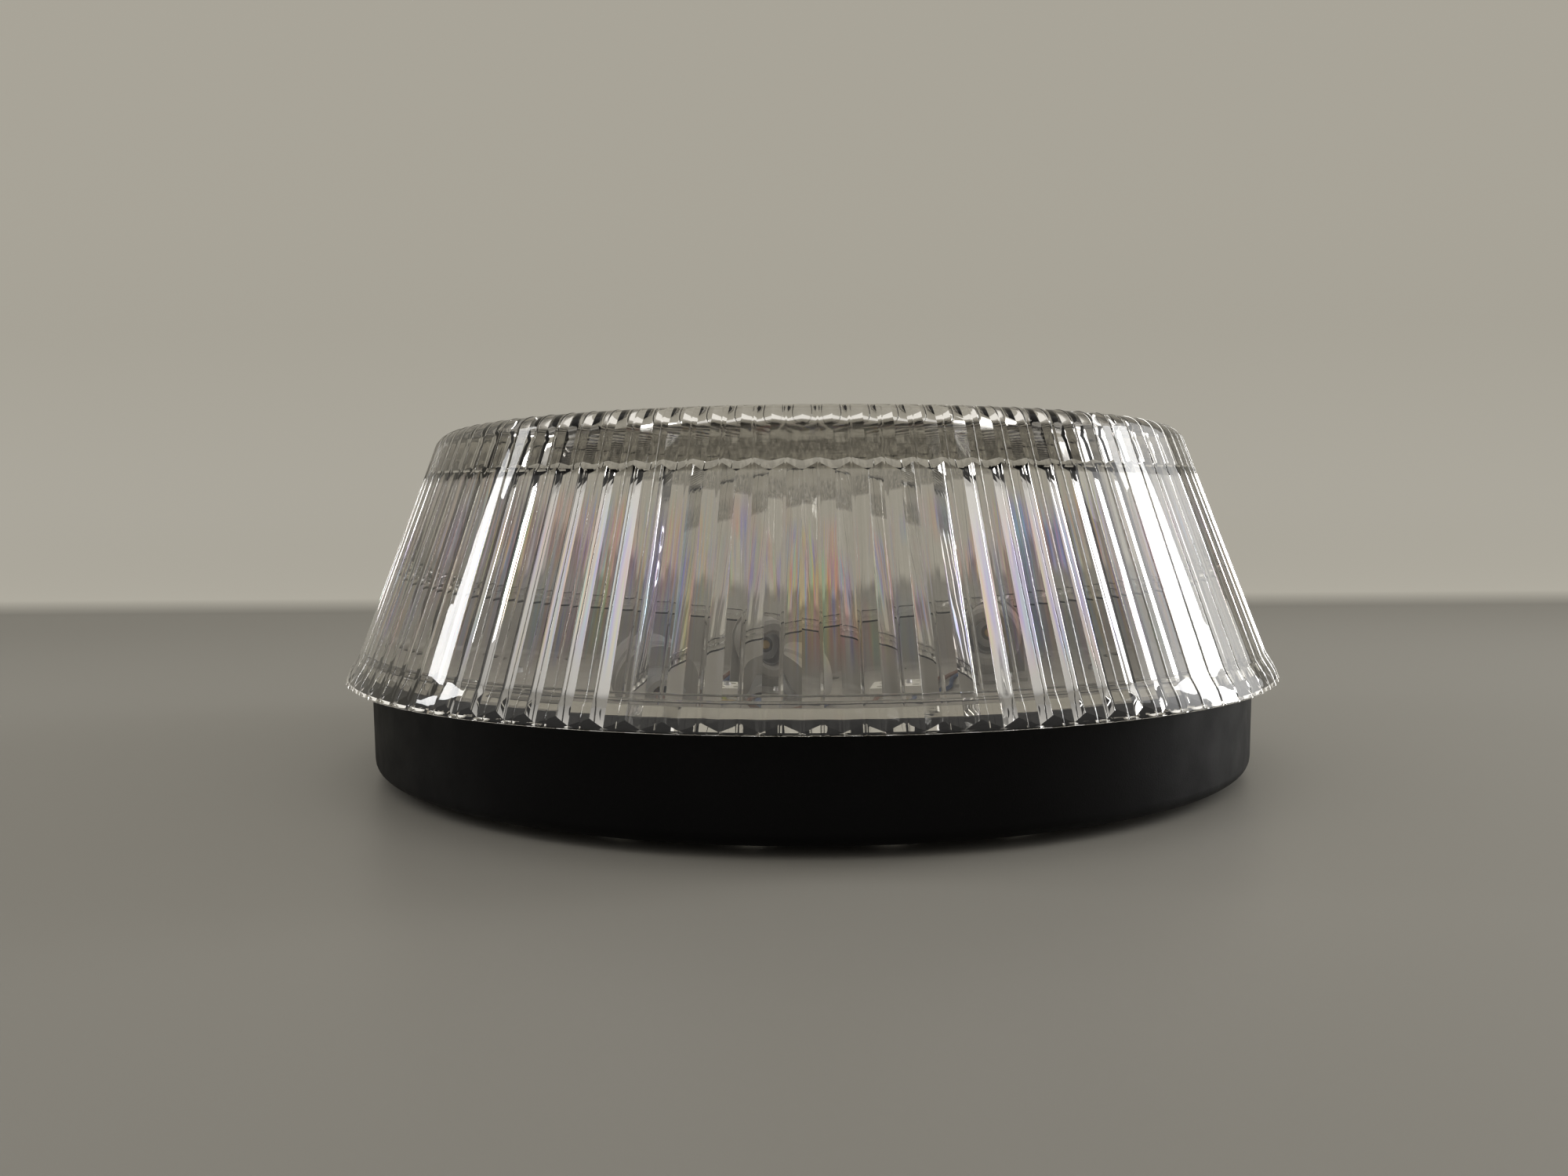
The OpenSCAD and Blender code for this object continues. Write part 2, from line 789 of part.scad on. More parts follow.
module twist_ring() {
    color([0.82, 0.82, 0.8])
    difference() {
        translate([0, 0, ledge_z])
            rotate_extrude() translate([ring_in_r, 0]) square([ring_out_r - ring_in_r, ring_h]);
        each_lug()
            translate([0, 0, pocket_z])
                ring_sector(ring_in_r - fuse, ring_out_r + fuse, pocket_depth + fuse, -pocket_deg, pocket_deg);
    }
}

// A lug: its stem hangs from the collar and its toe reaches out under the catch
module lug() {
    rotate([0, 0, -lug_deg / 2])
        rotate_extrude(angle = lug_deg)
            polygon([
                [lug_in_r, toe_z],
                [toe_out_r, toe_z],
                [toe_out_r, toe_z + toe_h],
                [stem_out_r, toe_z + toe_h],
                [stem_out_r, seat_z + fuse],
                [lug_in_r, seat_z + fuse]]);
}

module shade_collar() {
    color([0.9, 0.92, 0.92, 0.5])
    union() {
        rotate_extrude()
            polygon([
                [flange_in_r, seat_z],
                [edge_r(seat_z) - guide_gap, seat_z],
                [edge_r(collar_top) - guide_gap, collar_top],
                [edge_r(collar_top) - collar_t, collar_top],
                [edge_r(collar_top) - collar_t, seat_z + flange_t],
                [flange_in_r, seat_z + flange_t]]);
        each_lug() lug();
    }
}

// A closed body from rings of points: each ring lists its points in order round the axis, from the lowest ring up.
// The seams of each quad lean one way in even columns and the other way in odd ones.
module ringed_body(rings) {
    m = len(rings[0]);
    last = len(rings) - 1;
    side = [for (i = [0:last - 1]) for (j = [0:m - 1])
        let (a = i * m + j,
             b = i * m + (j + 1) % m)
        each (j % 2 == 0 ? [[a, a + m, b], [b, a + m, b + m]] : [[a, a + m, b + m], [a, b + m, b]])];
    first_end = [[for (j = [0:m - 1]) j]];
    last_end = [[for (j = [m - 1:-1:0]) last * m + j]];
    polyhedron(points = [for (ring = rings) each ring], faces = concat(side, first_end, last_end));
}

// Outside of the shade: foot, crest and foot of each thin rib, which stands out along the given direction
function ribbed_ring(r, z, way, h) =
    [for (i = [0:rib_n - 1]) for (k = [-1:1])
        let (a = (360 * i + k * rib_n * rib_deg / 2) / rib_n,
             d = k == 0 ? h : 0,
             s = r + d * cos(way))
        [s * cos(a), s * sin(a), z + d * sin(way)]];

// Inside of the shade: an edge behind each rib and the bottom of a flute between them
function fluted_ring(r_edge, r_flute, z) =
    [for (i = [0:2 * rib_n - 1])
        let (a = 180 * i / rib_n,
             s = i % 2 == 0 ? r_edge : r_flute)
        [s * cos(a), s * sin(a), z]];

module ribbed_body() {
    ringed_body(concat(
        [ribbed_ring(rim_r - rim_bevel, rim_z, lean, 0),
         ribbed_ring(lip_r(rim_z + rim_bevel), rim_z + rim_bevel, lean, rib_h),
         ribbed_ring(lip_r(lip_top), lip_top, lean, rib_h),
         ribbed_ring(wall_r(lip_top + lip_step), lip_top + lip_step, lean, rib_h)],
        [for (a = corner_bends)
            ribbed_ring(corner_x + shade_corner * cos(a), corner_z + shade_corner * sin(a), a, rib_h)],
        [ribbed_ring(corner_x - top_runout, shade_front, 90, 0)]));
}

module fluted_space() {
    in_front = shade_front - shade_top;
    in_corner = shade_corner / 2;
    in_corner_z = in_front - in_corner;
    in_corner_x = edge_r(in_corner_z) - in_corner / cos(lean);
    cut_z = rim_z + flute_cut;
    end_z = shoulder_z + flute_d;
    ringed_body(concat(
        [fluted_ring(flute_r(rim_z), flute_r(rim_z), rim_z - fuse),
         fluted_ring(flute_r(rim_z), flute_r(rim_z), rim_z),
         fluted_ring(edge_r(cut_z), flute_r(cut_z), cut_z),
         fluted_ring(edge_r(shoulder_z), flute_r(shoulder_z), shoulder_z),
         fluted_ring(edge_r(end_z), edge_r(end_z), end_z)],
        [for (a = corner_bends)
            let (r = in_corner_x + in_corner * cos(a))
            fluted_ring(r, r, in_corner_z + in_corner * sin(a))]));
}

module shade() {
    color([0.88, 0.9, 0.9, 0.35])
    difference() {
        ribbed_body();
        fluted_space();
    }
}

base_pan();
spacer_pads();
gear_tray();
tray_screws();
cable_grommet();
cable_clamp();
clamp_screws();
terminal_block();
terminal_barrels();
terminal_screws();
block_screws();
earth_tag();
earth_screw();
bracket_left();
bracket_right();
bracket_screws();
nipple_left();
nipple_right();
nipple_nuts();
holder_body_left();
holder_body_right();
thread_shell_left();
thread_shell_right();
centre_contact_left();
centre_contact_right();
live_wires();
neutral_wires();
earth_wire();
twist_ring();
shade_collar();
shade();
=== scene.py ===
"""Looks of a flush ceiling light: a clear ribbed shade twist-locked on a shallow black base.

The CAD frame gives every piece its place. This script adds the surfaces whose form is finer than the solids
(the ribbed shade, its collar and the rolled lamp threads), dresses all pieces with procedural finishes, and sets a
plain studio around them. Sizes inside the classes are millimetres; meshes are made in metres.
"""

import json
import logging
import math
from dataclasses import dataclass, field
from enum import Enum

import bpy
import numpy as np
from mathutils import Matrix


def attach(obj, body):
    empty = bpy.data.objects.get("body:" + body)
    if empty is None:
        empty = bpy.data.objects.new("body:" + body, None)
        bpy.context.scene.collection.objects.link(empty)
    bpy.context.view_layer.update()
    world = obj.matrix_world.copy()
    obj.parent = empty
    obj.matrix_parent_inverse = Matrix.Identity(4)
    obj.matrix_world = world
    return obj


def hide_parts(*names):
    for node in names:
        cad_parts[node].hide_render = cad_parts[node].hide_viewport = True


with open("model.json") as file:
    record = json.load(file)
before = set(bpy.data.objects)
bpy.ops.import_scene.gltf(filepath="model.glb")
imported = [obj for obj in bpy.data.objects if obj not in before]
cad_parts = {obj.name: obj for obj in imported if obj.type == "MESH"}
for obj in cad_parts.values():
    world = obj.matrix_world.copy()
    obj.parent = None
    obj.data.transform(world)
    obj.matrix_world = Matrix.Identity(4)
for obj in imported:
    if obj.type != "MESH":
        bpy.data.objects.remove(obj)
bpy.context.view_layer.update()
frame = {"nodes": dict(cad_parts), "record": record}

MM = 0.001
LOG = logging.getLogger("ceiling_light")


class Body(Enum):
    """CAD bodies that pieces ride on."""

    BASE = "base"
    SHADE = "shade"


class Slot(Enum):
    """Material slots of the record."""

    BASE_BLACK = "base_black"
    PAD_RUBBER = "pad_rubber"
    TRAY_PAINT = "tray_paint"
    BRACKET_PAINT = "bracket_paint"
    ZINC_STEEL = "zinc_steel"
    CONTACT_BRASS = "contact_brass"
    FITTING_PLASTIC = "fitting_plastic"
    HOLDER_GREY = "holder_grey"
    WIRE_BROWN = "wire_brown"
    WIRE_BLUE = "wire_blue"
    WIRE_GREEN = "wire_green"
    RING_NYLON = "ring_nylon"
    SHADE_CLEAR = "shade_clear"


class Ends(Enum):
    """How a grid of rings closes at its first and last ring."""

    POLES = "poles"
    LOOP = "loop"


class Board:
    """Node tree of one material, with short calls that add and join nodes."""

    def __init__(self, name: str) -> None:
        """Makes the material with a Principled shader joined to its output.

        Args:
            name: the material's name.
        """
        self.material = bpy.data.materials.new(name)
        self.material.use_nodes = True
        self.tree = self.material.node_tree
        self.tree.nodes.clear()
        self.output = self.tree.nodes.new("ShaderNodeOutputMaterial")
        self.shader = self.tree.nodes.new("ShaderNodeBsdfPrincipled")
        self.tree.links.new(self.shader.outputs["BSDF"], self.output.inputs["Surface"])

    def node(self, kind: str, options: dict | None = None, **sockets) -> bpy.types.Node:
        """Adds a node.

        Args:
            kind: the node's type name.
            options: the node's own properties.
            sockets: values or output sockets for its inputs, by name with _ for a space or iN for input number N.

        Returns:
            The new node.
        """
        made = self.tree.nodes.new(kind)
        for key, value in (options or {}).items():
            setattr(made, key, value)
        for key, value in sockets.items():
            index = key[1:]
            numbered = key[0] == "i" and index.isdigit()
            self.feed(made.inputs[int(index) if numbered else key.replace("_", " ")], value)
        return made

    def feed(self, socket: bpy.types.NodeSocket, value) -> None:
        """Joins an output socket to an input, or sets the input's own value."""
        if isinstance(value, bpy.types.NodeSocket):
            self.tree.links.new(value, socket)
        else:
            socket.default_value = value

    def set(self, **sockets) -> None:
        """Feeds inputs of the Principled shader by name, with _ for a space."""
        for key, value in sockets.items():
            self.feed(self.shader.inputs[key.replace("_", " ")], value)

    def place(self, stretch: tuple[float, float, float] = (1, 1, 1)) -> bpy.types.NodeSocket:
        """Object coordinates scaled along each axis.

        Args:
            stretch: the scale along X, Y and Z.

        Returns:
            The vector socket.
        """
        where = self.node("ShaderNodeTexCoord").outputs["Object"]
        return self.node("ShaderNodeMapping", None, Vector=where, Scale=stretch).outputs["Vector"]

    def noise(self, place: bpy.types.NodeSocket, scale: float, detail: float = 3.0) -> bpy.types.NodeSocket:
        """Fractal noise between 0 and 1 at a place."""
        return self.node("ShaderNodeTexNoise", None, Vector=place, Scale=scale, Detail=detail).outputs[0]

    def span(self, value: bpy.types.NodeSocket, low: float, high: float,
             start: float = 0.3, end: float = 0.7) -> bpy.types.NodeSocket:
        """Maps a value from start..end to low..high, clamped.

        Args:
            value: the socket to map.
            low: the result at start.
            high: the result at end.
            start: where the range begins.
            end: where the range ends.

        Returns:
            The mapped socket.
        """
        made = self.node("ShaderNodeMapRange", None, i0=value, i1=start, i2=end, i3=low, i4=high)
        return made.outputs[0]

    def blend(self, factor: bpy.types.NodeSocket, first: tuple, second: tuple) -> bpy.types.NodeSocket:
        """Mixes two linear colours by a factor."""
        made = self.node("ShaderNodeMix", {"data_type": "RGBA"})
        self.feed(made.inputs[0], factor)
        self.feed(made.inputs[6], first if isinstance(first, bpy.types.NodeSocket) else (*first, 1))
        self.feed(made.inputs[7], second if isinstance(second, bpy.types.NodeSocket) else (*second, 1))
        return made.outputs[2]

    def product(self, first: bpy.types.NodeSocket, second: bpy.types.NodeSocket) -> bpy.types.NodeSocket:
        """Multiplies two values."""
        return self.node("ShaderNodeMath", {"operation": "MULTIPLY"}, i0=first, i1=second).outputs[0]

    def bump(self, height: bpy.types.NodeSocket, metres: float, strength: float = 1.0) -> None:
        """Bumps the shader by a height map whose full range is a number of metres."""
        made = self.node("ShaderNodeBump", None, Height=height, Distance=metres, Strength=strength)
        self.set(Normal=made.outputs["Normal"])


@dataclass(frozen=True)
class Moulded:
    """An even moulded or coated surface: two close tones, uneven gloss and a fine grain.

    The colour runs between two tones by broad noise, the roughness by a second noise, and a fine noise gives the
    surface its grain.
    """

    slot: Slot
    tone: tuple[float, float, float]
    tone_worn: tuple[float, float, float]
    rough: tuple[float, float]
    grain_scale: float
    grain_mm: float
    specular: float = 0.5

    def material(self) -> bpy.types.Material:
        """Builds the finish as a material."""
        board = Board(self.slot.value)
        place = board.place()
        broad = board.noise(place, 28.0, 4.0)
        fine = board.noise(place, self.grain_scale, 2.0)
        board.set(Base_Color=board.blend(board.span(broad, 0, 1), self.tone, self.tone_worn),
                  Roughness=board.span(board.noise(place, 90.0, 3.0), *self.rough),
                  Specular_IOR_Level=self.specular)
        board.bump(fine, self.grain_mm * MM)
        return board.material


@dataclass(frozen=True)
class Plated:
    """Bare or plated metal: drawn streaks along one axis in tone and gloss.

    Noise squeezed along the streaks' axis changes the colour, the roughness and a very shallow bump.
    """

    slot: Slot
    tone: tuple[float, float, float]
    tone_dull: tuple[float, float, float]
    rough: tuple[float, float]
    stretch: tuple[float, float, float]

    def material(self) -> bpy.types.Material:
        """Builds the finish as a material."""
        board = Board(self.slot.value)
        streaks = board.noise(board.place(self.stretch), 220.0, 4.0)
        patches = board.noise(board.place(), 60.0, 3.0)
        board.set(Base_Color=board.blend(board.span(patches, 0, 1), self.tone, self.tone_dull),
                  Metallic=1.0,
                  Roughness=board.span(streaks, *self.rough))
        board.bump(streaks, 0.02 * MM)
        return board.material


@dataclass(frozen=True)
class ClearMoulding:
    """Clear polished plastic, with painted shade over its front edge and painted stress colours along the ribs.

    The stress colours are painted: the rainbow that polarised light shows in the stressed plastic goes into the tint,
    its phase noise on the direction from the axis, drawn out along the height;
    broader noise lets it show only in streaks of the wall. Over the shoulder the tint is painted darker as shade and
    the gloss drops, with darker painted strokes low in that band. A faint flow waviness moves the reflections.
    """

    slot: Slot
    clear: tuple[float, float, float] = (0.855, 0.845, 0.815)
    # Painted shade: the shoulder band's darker tint, and the still darker strokes low in that band.
    painted_band_shade: tuple[float, float, float] = (0.66, 0.645, 0.61)
    painted_stroke_shade: tuple[float, float, float] = (0.42, 0.41, 0.39)
    band_z: tuple[float, float, float, float] = (95.3, 95.9, 112.2, 112.9)
    band_r: tuple[float, float] = (110.0, 117.0)
    painted_stroke_z: tuple[float, float] = (103.0, 104.5)
    streak_z: tuple[float, float, float, float] = (45.0, 53.0, 81.0, 91.0)
    ior: float = 1.5
    # Share of the painted stress colours, the rainbow that polarised light shows in the stressed plastic.
    rainbow: float = 1.0
    mean_r: float = 150.0
    band_gloss: float = 0.02
    rough: tuple[float, float] = (0.0, 0.008)
    flow_mm: float = 0.035
    stops: tuple[tuple[float, tuple[float, float, float]], ...] = (
        (0.30, (1.0, 0.86, 0.60)), (0.38, (0.60, 0.86, 1.0)), (0.45, (0.62, 0.50, 0.98)), (0.50, (0.95, 0.93, 0.88)),
        (0.55, (1.0, 0.62, 0.66)), (0.62, (1.0, 0.90, 0.50)), (0.70, (0.62, 0.98, 0.82)))

    def ramp(self, board: Board, phase: bpy.types.NodeSocket) -> bpy.types.NodeSocket:
        """The rainbow's colour at a phase."""
        made = board.node("ShaderNodeValToRGB", None, Fac=phase)
        elements = made.color_ramp.elements
        for element, (at, colour) in zip((elements[0], elements[1]), (self.stops[0], self.stops[-1])):
            element.position = at
            element.color = (*colour, 1)
        for at, colour in self.stops[1:-1]:
            elements.new(at).color = (*colour, 1)
        return made.outputs["Color"]

    def zone(self, board: Board, height: bpy.types.NodeSocket, edges: tuple[float, ...]) -> bpy.types.NodeSocket:
        """1 between two heights and 0 outside, with soft edges given as four heights in millimetres."""
        low, low_full, high_full, high = (edge * MM for edge in edges)
        return board.product(board.span(height, 0, 1, low, low_full), board.span(height, 1, 0, high_full, high))

    def round_place(self, board: Board, along: float) -> bpy.types.NodeSocket:
        """A place that keeps the direction from the axis at one radius, with the height scaled by a share."""
        aim = board.node("ShaderNodeVectorMath", {"operation": "NORMALIZE"}, i0=board.place((1, 1, 0))).outputs[0]
        return board.node("ShaderNodeVectorMath", {"operation": "MULTIPLY_ADD"}, i0=aim, i1=(self.mean_r * MM,) * 3,
                          i2=board.place((0, 0, along))).outputs[0]

    def material(self) -> bpy.types.Material:
        """Builds the finish as a material."""
        board = Board(self.slot.value)
        height = board.node("ShaderNodeSeparateXYZ", None, Vector=board.place()).outputs["Z"]
        # Painted stress colours: the rainbow that polarised light shows in the stressed plastic goes into the tint, in
        # streaks.
        rainbow = self.ramp(board, board.noise(self.round_place(board, 0.03), 430.0, 1.5))
        patches = board.span(board.noise(self.round_place(board, 0.3), 70.0, 2.0), 0, self.rainbow, 0.44, 0.58)
        shown = board.product(patches, self.zone(board, height, self.streak_z))
        # Painted shade: over the shoulder band the tint turns darker, with darker strokes low in it, and the gloss
        # drops there.
        painted_strokes = board.span(board.noise(board.place((1, 1, 0.3)), 900.0, 3.0), 0, 1, 0.42, 0.55)
        low = board.span(height, 1, 0, *(edge * MM for edge in self.painted_stroke_z))
        painted_band_shade = board.blend(board.product(painted_strokes, low), self.painted_band_shade, self.painted_stroke_shade)
        away = board.node("ShaderNodeVectorMath", {"operation": "LENGTH"}, i0=board.place((1, 1, 0))).outputs["Value"]
        ring = board.span(away, 0, 1, *(edge * MM for edge in self.band_r))
        band = board.product(ring, self.zone(board, height, self.band_z))
        tint = board.blend(shown, board.blend(band, self.clear, painted_band_shade), rainbow)
        board.set(Base_Color=tint, Transmission_Weight=1.0, IOR=self.ior,
                  Specular_Tint=board.blend(band, (1.0, 1.0, 1.0), (self.band_gloss,) * 3),
                  Roughness=board.span(board.noise(board.place(), 260.0, 4.0), *self.rough, 0.5, 0.8))
        board.bump(board.noise(board.place((1, 1, 0.25)), 70.0, 2.0), self.flow_mm * MM)
        self.let_lamps_through(board)
        return board.material

    def let_lamps_through(self, board: Board) -> None:
        """Mixes in a Transparent shader for rays towards lamps, so that the inside is lit through the clear wall."""
        path = board.node("ShaderNodeLightPath")
        thin = board.node("ShaderNodeBsdfTransparent", None, Color=(0.62, 0.61, 0.58, 1))
        mix = board.node("ShaderNodeMixShader")
        board.feed(mix.inputs[0], path.outputs["Is Shadow Ray"])
        board.feed(mix.inputs[1], board.shader.outputs["BSDF"])
        board.feed(mix.inputs[2], thin.outputs[0])
        board.feed(board.output.inputs["Surface"], mix.outputs[0])


class Wardrobe:
    """All finishes of the light, by material slot."""

    def __init__(self) -> None:
        """Builds one material for each slot."""
        finishes = (
            Moulded(Slot.BASE_BLACK, (0.0015, 0.0015, 0.0017), (0.0026, 0.0026, 0.0028), (0.45, 0.58), 2600.0, 0.03,
                    0.09),
            Moulded(Slot.PAD_RUBBER, (0.020, 0.020, 0.020), (0.035, 0.035, 0.034), (0.75, 0.9), 900.0, 0.08, 0.3),
            Moulded(Slot.TRAY_PAINT, (0.40, 0.385, 0.35), (0.36, 0.345, 0.31), (0.35, 0.5), 700.0, 0.04),
            Moulded(Slot.BRACKET_PAINT, (0.34, 0.33, 0.30), (0.30, 0.29, 0.26), (0.32, 0.45), 700.0, 0.04),
            Moulded(Slot.FITTING_PLASTIC, (0.76, 0.75, 0.70), (0.70, 0.68, 0.62), (0.4, 0.55), 1500.0, 0.03),
            Moulded(Slot.HOLDER_GREY, (0.30, 0.29, 0.265), (0.26, 0.25, 0.23), (0.35, 0.5), 1500.0, 0.03),
            Moulded(Slot.WIRE_BROWN, (0.19, 0.085, 0.045), (0.15, 0.065, 0.035), (0.4, 0.5), 1200.0, 0.02),
            Moulded(Slot.WIRE_BLUE, (0.035, 0.075, 0.18), (0.028, 0.06, 0.15), (0.4, 0.5), 1200.0, 0.02),
            Moulded(Slot.WIRE_GREEN, (0.28, 0.42, 0.06), (0.45, 0.42, 0.05), (0.4, 0.5), 1200.0, 0.02),
            Moulded(Slot.RING_NYLON, (0.66, 0.65, 0.61), (0.60, 0.59, 0.55), (0.4, 0.55), 1500.0, 0.03),
            Plated(Slot.ZINC_STEEL, (0.60, 0.60, 0.60), (0.50, 0.51, 0.52), (0.25, 0.42), (1, 1, 0.1)),
            Plated(Slot.CONTACT_BRASS, (0.70, 0.52, 0.24), (0.60, 0.43, 0.19), (0.2, 0.38), (1, 0.1, 1)),
            ClearMoulding(Slot.SHADE_CLEAR),
        )
        self.materials = {finish.slot: finish.material() for finish in finishes}

    def dress(self, piece: bpy.types.Object, slot: Slot) -> None:
        """Gives a piece the material of a slot."""
        piece.data.materials.clear()
        piece.data.materials.append(self.materials[slot])


class Surfaces:
    """Makes closed meshes from grids of points."""

    @staticmethod
    def faces(rows: int, columns: int, loop: bool) -> np.ndarray:
        """Quads of a grid that closes round its columns, and round its rows too if it is a loop.

        Args:
            rows: number of rings.
            columns: number of points in a ring.
            loop: whether the last ring joins the first.

        Returns:
            An array of four vertex numbers per quad, facing outwards for rings that climb outside and descend inside.
        """
        first = np.arange(rows if loop else rows - 1)[:, None] * columns
        second = (first + columns) % (rows * columns)
        left = np.arange(columns)[None, :]
        right = (left + 1) % columns
        return np.stack([first + left, first + right, second + right, second + left], -1).reshape(-1, 4)

    @classmethod
    def mesh(cls, name: str, grid: np.ndarray, ends: Ends, sharp_deg: float = 35.0) -> bpy.types.Object:
        """Makes an object from rings of points.

        Args:
            name: the object's name.
            grid: points in millimetres, of shape (rings, columns, 3).
            ends: whether the end rings close in poles or join in a loop.
            sharp_deg: edges that bend more than this stay sharp.

        Returns:
            The linked object, at the origin.
        """
        rows, columns, _ = grid.shape
        points = grid.reshape(-1, 3)
        faces = cls.faces(rows, columns, ends is Ends.LOOP).tolist()
        if ends is Ends.POLES:
            poles = np.stack([grid[0].mean(0), grid[-1].mean(0)])
            points = np.concatenate([points, poles])
            ring = np.arange(columns)
            after = (ring + 1) % columns
            last = (rows - 1) * columns
            fan_first = np.stack([after, ring, np.full(columns, rows * columns)], -1)
            fan_last = np.stack([last + ring, last + after, np.full(columns, rows * columns + 1)], -1)
            faces += fan_first.tolist() + fan_last.tolist()
        return cls.link(name, points, faces, sharp_deg)

    @staticmethod
    def link(name: str, points: np.ndarray, faces: list, sharp_deg: float) -> bpy.types.Object:
        """Puts points in millimetres and faces into a smooth-shaded object with sharp edges past an angle."""
        mesh = bpy.data.meshes.new(name)
        mesh.from_pydata((points * MM).tolist(), [], faces)
        mesh.validate()
        mesh.polygons.foreach_set("use_smooth", np.ones(len(mesh.polygons), bool))
        mesh.set_sharp_from_angle(angle=math.radians(sharp_deg))
        made = bpy.data.objects.new(name, mesh)
        bpy.context.scene.collection.objects.link(made)
        LOG.info("%s: %d points, %d faces", name, len(points), len(faces))
        return made

    @staticmethod
    def turn(profile: np.ndarray, angles: np.ndarray) -> np.ndarray:
        """Rings of a profile carried round Z: each point (r, z) becomes (r cos a, r sin a, z).

        Args:
            profile: points (r, z) in millimetres.
            angles: angles in radians.

        Returns:
            A grid of points of shape (profile points, angles, 3).
        """
        r = profile[:, 0][:, None]
        z = np.repeat(profile[:, 1][:, None], len(angles), 1)
        return np.stack([r * np.cos(angles), r * np.sin(angles), z], -1)


class Smoother:
    """Smooth shading for CAD nodes by a modifier that leaves their own meshes alone."""

    def __init__(self) -> None:
        """Builds the node group: merge the loose triangles, smooth all faces, keep bends past an angle sharp."""
        tree = bpy.data.node_groups.new("smooth_past_angle", "GeometryNodeTree")
        face = tree.interface
        face.new_socket("Geometry", in_out="INPUT", socket_type="NodeSocketGeometry")
        face.new_socket("Angle", in_out="INPUT", socket_type="NodeSocketFloat")
        face.new_socket("Geometry", in_out="OUTPUT", socket_type="NodeSocketGeometry")
        start = tree.nodes.new("NodeGroupInput")
        end = tree.nodes.new("NodeGroupOutput")
        merge = tree.nodes.new("GeometryNodeMergeByDistance")
        merge.inputs["Distance"].default_value = 2e-6
        smooth = tree.nodes.new("GeometryNodeSetShadeSmooth")
        angle = tree.nodes.new("GeometryNodeInputMeshEdgeAngle")
        bent = tree.nodes.new("FunctionNodeCompare")
        bent.operation = "GREATER_THAN"
        sharp = tree.nodes.new("GeometryNodeSetShadeSmooth")
        sharp.domain = "EDGE"
        sharp.inputs["Shade Smooth"].default_value = False
        for source, target in ((start.outputs["Geometry"], merge.inputs["Geometry"]),
                               (merge.outputs["Geometry"], smooth.inputs["Geometry"]),
                               (smooth.outputs["Geometry"], sharp.inputs["Geometry"]),
                               (angle.outputs["Unsigned Angle"], bent.inputs["A"]),
                               (start.outputs["Angle"], bent.inputs["B"]),
                               (bent.outputs["Result"], sharp.inputs["Selection"]),
                               (sharp.outputs["Geometry"], end.inputs["Geometry"])):
            tree.links.new(source, target)
        self.tree = tree
        self.angle_key = next(item.identifier for item in tree.interface.items_tree
                              if item.name == "Angle" and item.in_out == "INPUT")

    def apply(self, node: bpy.types.Object, degrees: float) -> None:
        """Adds the modifier to a node with its angle in degrees."""
        made = node.modifiers.new("smooth", "NODES")
        made.node_group = self.tree
        made[self.angle_key] = math.radians(degrees)


